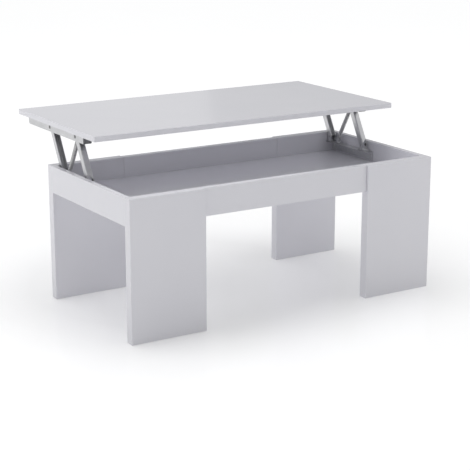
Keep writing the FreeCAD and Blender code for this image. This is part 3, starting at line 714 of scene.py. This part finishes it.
def pivots(side):
    """Pins, rivets and spacers of one mechanism."""
    front_low = pivot("front_arm_" + side)
    rear_low = pivot("lift" if side == "left" else "rear_arm_right")
    front_high = pivot("spring_high_" + side)
    rear_high = rear_low + front_high - front_low
    east = np.array([1.0, 0, 0])
    start = [(0.9 * MM, 0.4 * MM), (1.1 * MM, 0.0), (PIN - 0.5 * MM, 0.0), (PIN, 0.5 * MM)]
    finish = [(radius, 2 * EAR_OUT - height) for radius, height in start[::-1]]
    pin = turned(start + finish, rear_low - EAR_OUT * east, east)
    piece("pivot_pin_rear_low_%s_turned" % side, [pin], PIVOT, "base", ["pivot_pin_rear_low_" + side])
    inner_head = [(0.5 * MM, 0.0), (4.2 * MM, 0.0), (4.5 * MM, 0.3 * MM), (4.5 * MM, 0.8 * MM),
                  (PIN, 0.8 * MM)]
    stubs = []
    for sign in (-1.0, 1.0):
        length = EAR_OUT - RIVET_INNER
        outer_end = [(PIN, length - 0.4 * MM), (PIN - 0.4 * MM, length), (1.2 * MM, length),
                     (0.9 * MM, length - 0.3 * MM)]
        stubs.append(turned(inner_head + outer_end, front_low + sign * RIVET_INNER * east, sign * east))
    piece("pivot_rivets_front_low_%s_turned" % side, stubs, PIVOT, "base", ["pivot_rivets_front_low_" + side])
    stubs = []
    for sign in (-1.0, 1.0):
        length = RAIL_OUT - RIVET_INNER
        outer_head = [(radius, length + height) for radius, height in dome(5 * MM, 1 * MM)]
        stubs.append(turned(inner_head + [(PIN, length)] + outer_head,
                            rear_high + sign * RIVET_INNER * east, sign * east))
    piece("pivot_rivets_rear_high_%s_turned" % side, stubs, PIVOT, "top", ["pivot_rivets_rear_high_" + side])
    head = [(radius, RAIL_OUT + height) for radius, height in dome(5 * MM, 1 * MM)]
    tail = [(radius, -height) for radius, height in head[::-1]]
    pin = turned(tail + [(PIN, -RAIL_OUT), (PIN, RAIL_OUT)] + head, front_high, east)
    piece("pivot_pin_front_high_%s_turned" % side, [pin], PIVOT, "top",
          ["pivot_pin_front_high_" + side])
    gap_in = ARM_HALF + 0.05 * MM
    gap_out = RAIL_OUT - SHEET - 0.05 * MM
    rings = [ring_piece(place + sign * (gap_in + gap_out) / 2 * east, 3.05 * MM, 5 * MM, gap_out - gap_in)
             for place in (front_high, rear_high) for sign in (-1.0, 1.0)]
    piece("pivot_spacers_%s_rings" % side, rings, GLIDE, "top", ["pivot_spacers_" + side])
    foot = pivot("spring_low_" + side)
    half = 5.5 * MM
    profile = [(1.6 * MM, -half), (2 * MM, -half + 0.4 * MM), (2 * MM, half - 0.4 * MM), (1.6 * MM, half)]
    piece("spring_pin_%s_turned" % side, [turned(profile, foot, east)], ZINC, "base", ["spring_pin_" + side])


def clusters(node, count):
    """Middles of a node's loose solids: its points sorted into count groups by nearest neighbour grid."""
    mesh = frame["nodes"][node].data
    points = np.zeros(len(mesh.vertices) * 3, np.float32)
    mesh.vertices.foreach_get("co", points)
    points = points.reshape(-1, 3).astype(float)
    left = np.ones(len(points), bool)
    found = []
    while left.any() and len(found) < count:
        seed = points[left][0]
        near = left & (np.linalg.norm(points - seed, axis=1) < 0.045)
        found.append((points[near].min(0), points[near].max(0)))
        left &= ~near
    return found


for side, outer in (("left", -1.0), ("right", 1.0)):
    front_low = pivot("front_arm_" + side)
    rear_low = pivot("lift" if side == "left" else "rear_arm_right")
    front_high = pivot("spring_high_" + side)
    lean = front_high - front_low
    arm("arm_front_" + side, front_low, front_high, True)
    arm("arm_rear_" + side, rear_low, rear_low + lean, False)
    rail("rail_" + side)
    bracket("bracket_" + side, outer)
    fork("clevis_front_" + side, front_low, 2 * (EAR_OUT - SHEET), SHEET, 7 * MM, 15 * MM)
    fork("clevis_rear_" + side, rear_low, 2 * (EAR_OUT - SHEET), SHEET, 7 * MM, 15 * MM)
    fork("spring_post_" + side, pivot("spring_low_" + side), 8 * MM, SHEET, 4 * MM, 8 * MM)
    stop_lug("raise_stop_" + side, rear_low, rear_low + lean)
    coil_spring(side)
    pivots(side)

up = np.array([0, 0, 1.0])
heads = []
for low_corner, high_corner in clusters("bracket_screws", 6):
    middle = (low_corner + high_corner) / 2
    sign = -1.0 if middle[0] < 0 else 1.0
    point = abs(low_corner[0]) if sign < 0 else abs(high_corner[0])
    seat = np.array([sign * (point - SCREW_GRIP - PLATE), middle[1], middle[2]])
    heads.append(crossed_head(seat, (-sign, 0, 0), SCREW_HEAD, 2.0 * MM, 1.0 * MM, 1.3 * MM))
    heads.append(threaded(seat, (sign, 0, 0), SCREW_SHANK, SCREW_GRIP + PLATE, SCREW_PITCH))
piece("bracket_screws_crossed", heads, ZINC, "base", ["bracket_screws"])

heads = []
for low_corner, high_corner in clusters("rail_screws", 6):
    middle = (low_corner + high_corner) / 2
    seat = np.array([middle[0], middle[1], low_corner[2] + 2 * MM])
    heads.append(crossed_head(seat, -up, SCREW_HEAD, 2.0 * MM, 1.0 * MM, 1.3 * MM))
    heads.append(threaded(seat, up, SCREW_SHANK, SCREW_GRIP, SCREW_PITCH))
piece("rail_screws_crossed", heads, ZINC, "top", ["rail_screws"])

drums = []
for low_corner, high_corner in clusters("tray_cams", 12):
    middle = (low_corner + high_corner) / 2
    drums.append(crossed_head(np.array([middle[0], middle[1], high_corner[2]]), -up, 7.5 * MM,
                              high_corner[2] - low_corner[2], 1.5 * MM, 2.6 * MM, flat=True))
piece("tray_cams_crossed", drums, ZINC, "base", ["tray_cams"])

feet = []
for low_corner, high_corner in clusters("foot_glides", 8):
    middle = (low_corner + high_corner) / 2
    disc = [(0.5 * MM, 0.0), (8.6 * MM, 0.0), (9.5 * MM, 0.25 * MM), (10 * MM, 0.9 * MM), (10 * MM, 2 * MM)]
    nail = [(1.5 * MM, 2 * MM), (1.5 * MM, 12.5 * MM), (0.2 * MM, 14 * MM)]
    feet.append(turned(disc + nail, (middle[0], middle[1], low_corner[2]), up, steps=40))
piece("foot_glides_turned", feet, GLIDE, "base", ["foot_glides"])

caps = [rail_cap(low_corner, high_corner) for low_corner, high_corner in clusters("rail_end_caps", 2)]
piece("rail_end_caps_moulded", caps, CAP, "top", ["rail_end_caps"])

pads = []
for low_corner, high_corner in clusters("top_bumpers", 4):
    middle = (low_corner + high_corner) / 2
    pads.append(turned(dome(5 * MM, 1.3 * MM), (middle[0], middle[1], high_corner[2]), -up, steps=40))
piece("top_bumpers_domes", pads, BUMPER, "top", ["top_bumpers"])


def fluted(radius, angle, height):
    """A dowel's radius: cut into a few shallow flutes round it."""
    return radius * (1 - 0.035 * (0.5 + 0.5 * np.cos(20 * angle)))


for node, count, radius, length, axis in (("apron_dowels", 8, 4 * MM, 30 * MM, (1.0, 0, 0)),
                                          ("end_dowels", 8, 3 * MM, 24 * MM, (0, 1.0, 0))):
    pegs = []
    for low_corner, high_corner in clusters(node, count):
        middle = (low_corner + high_corner) / 2
        end = length / 2
        profile = [(radius * 0.7, -end), (radius, -end + 1.2 * MM), (radius, end - 1.2 * MM),
                   (radius * 0.7, end)]
        pegs.append(turned(profile, middle, axis, steps=80, shape=fluted))
    piece(node + "_fluted", pegs, BEECH, "base", [node])

bolts = []
for low_corner, high_corner in clusters("tray_cam_bolts", 12):
    middle = (low_corner + high_corner) / 2
    size = high_corner - low_corner
    axis = np.array([1.0, 0, 0]) if size[0] > size[1] else np.array([0, 1.0, 0])
    axis = axis * np.sign(middle @ axis)
    start = middle - axis * (size @ np.abs(axis)) / 2
    ball = [(2.2 * MM, 0.0), (3 * MM, 0.6 * MM), (3 * MM, 3 * MM), (2 * MM, 4 * MM)]
    stem = [(2 * MM, 7 * MM), (3 * MM, 8 * MM), (3 * MM, 22.6 * MM), (2.4 * MM, 23 * MM)]
    bolts.append(turned(ball + stem, start, axis))
    bolts.append(threaded(start + 22.5 * MM * axis, axis, 2.5 * MM, 11.4 * MM, 2.0 * MM))
piece("tray_cam_bolts_turned", bolts, ZINC, "base", ["tray_cam_bolts"])

# ---------------------------------------------------------------- floor
bpy.ops.mesh.primitive_plane_add(size=60, location=(0, 0, 0))
floor = bpy.context.object
floor.name = "studio_floor"
floor_material, floor_tree, floor_shader, floor_place = new_material("studio_floor")
floor_cloud = noise(floor_tree, floor_place, 1.2, 2.0)
floor_shade = ramp(floor_tree, floor_cloud, [(0.3, grey(0.93)), (0.7, grey(0.95))])
floor_tree.links.new(floor_shade, floor_shader.inputs["Base Color"])
floor_shader.inputs["Roughness"].default_value = 0.13
floor_shader.inputs["Specular IOR Level"].default_value = 0.45
# painted light: the floor glows a little by itself, and more away from the table, standing in for the light on a
# paper sweep; the lower glow close to the table is painted shade round it
away = floor_tree.nodes.new("ShaderNodeVectorMath")
away.operation = "DISTANCE"
away.inputs[1].default_value = (-0.1, 0.2, 0)
floor_tree.links.new(floor_place.outputs["Object"], away.inputs[0])
share = floor_tree.nodes.new("ShaderNodeMapRange")
share.inputs["From Max"].default_value = 5.0
floor_tree.links.new(away.outputs["Value"], share.inputs["Value"])
# painted shade and light: the glow dips just round the table and rises with the distance from it
painted_floor_glow = ramp(floor_tree, share.outputs["Result"],
            [(0.05, grey(0.20)), (0.09, grey(0.16)), (0.14, grey(0.26)), (0.22, grey(0.33)),
             (0.4, grey(0.42)), (0.9, grey(0.60))])
floor_tree.links.new(painted_floor_glow, floor_shader.inputs["Emission Color"])
floor_shader.inputs["Emission Strength"].default_value = 1.0
floor.data.materials.append(floor_material)

# ---------------------------------------------------------------- light and camera
world = bpy.data.worlds.new("studio")
world.use_nodes = True
world.node_tree.nodes["Background"].inputs["Color"].default_value = (0.985, 0.99, 1.0, 1)
world.node_tree.nodes["Background"].inputs["Strength"].default_value = 0.40
bpy.context.scene.world = world


def soft_light(name, place, target, size, power):
    """A large square lamp aimed at a point."""
    lamp = bpy.data.lights.new(name, "AREA")
    lamp.shape = "SQUARE"
    lamp.size = size
    lamp.energy = power
    thing = bpy.data.objects.new(name, lamp)
    thing.location = place
    thing.rotation_euler = (Vector(target) - Vector(place)).to_track_quat("-Z", "Y").to_euler()
    bpy.context.scene.collection.objects.link(thing)
    return thing


soft_light("left_lamp", (-3.6, 0.4, 1.9), (0, 0, 0.3), 2.6, 12)
soft_light("top_lamp", (-0.4, 0.8, 3.4), (0, 0.1, 0.3), 3.0, 61)
soft_light("right_lamp", (3.6, -0.5, 1.9), (0, 0, 0.3), 2.6, 9)
soft_light("front_right_lamp", (2.25, -1.65, 2.15), (0.3, 0, 0.4), 1.3, 3.2)
soft_light("back_lamp", (0.8, 4.0, 2.2), (0, 0, 0.3), 3.0, 4)

camera = bpy.data.objects.new("camera", bpy.data.cameras.new("camera"))
camera.location = (-2.107, -3.344, 1.257)
camera.rotation_euler = (math.radians(90 - 15.30), 0, math.radians(-31.92))
camera.data.sensor_width = 36
camera.data.lens = 106.6
camera.data.clip_end = 200
bpy.context.scene.collection.objects.link(camera)
bpy.context.scene.camera = camera
bpy.context.scene.view_settings.view_transform = "Standard"
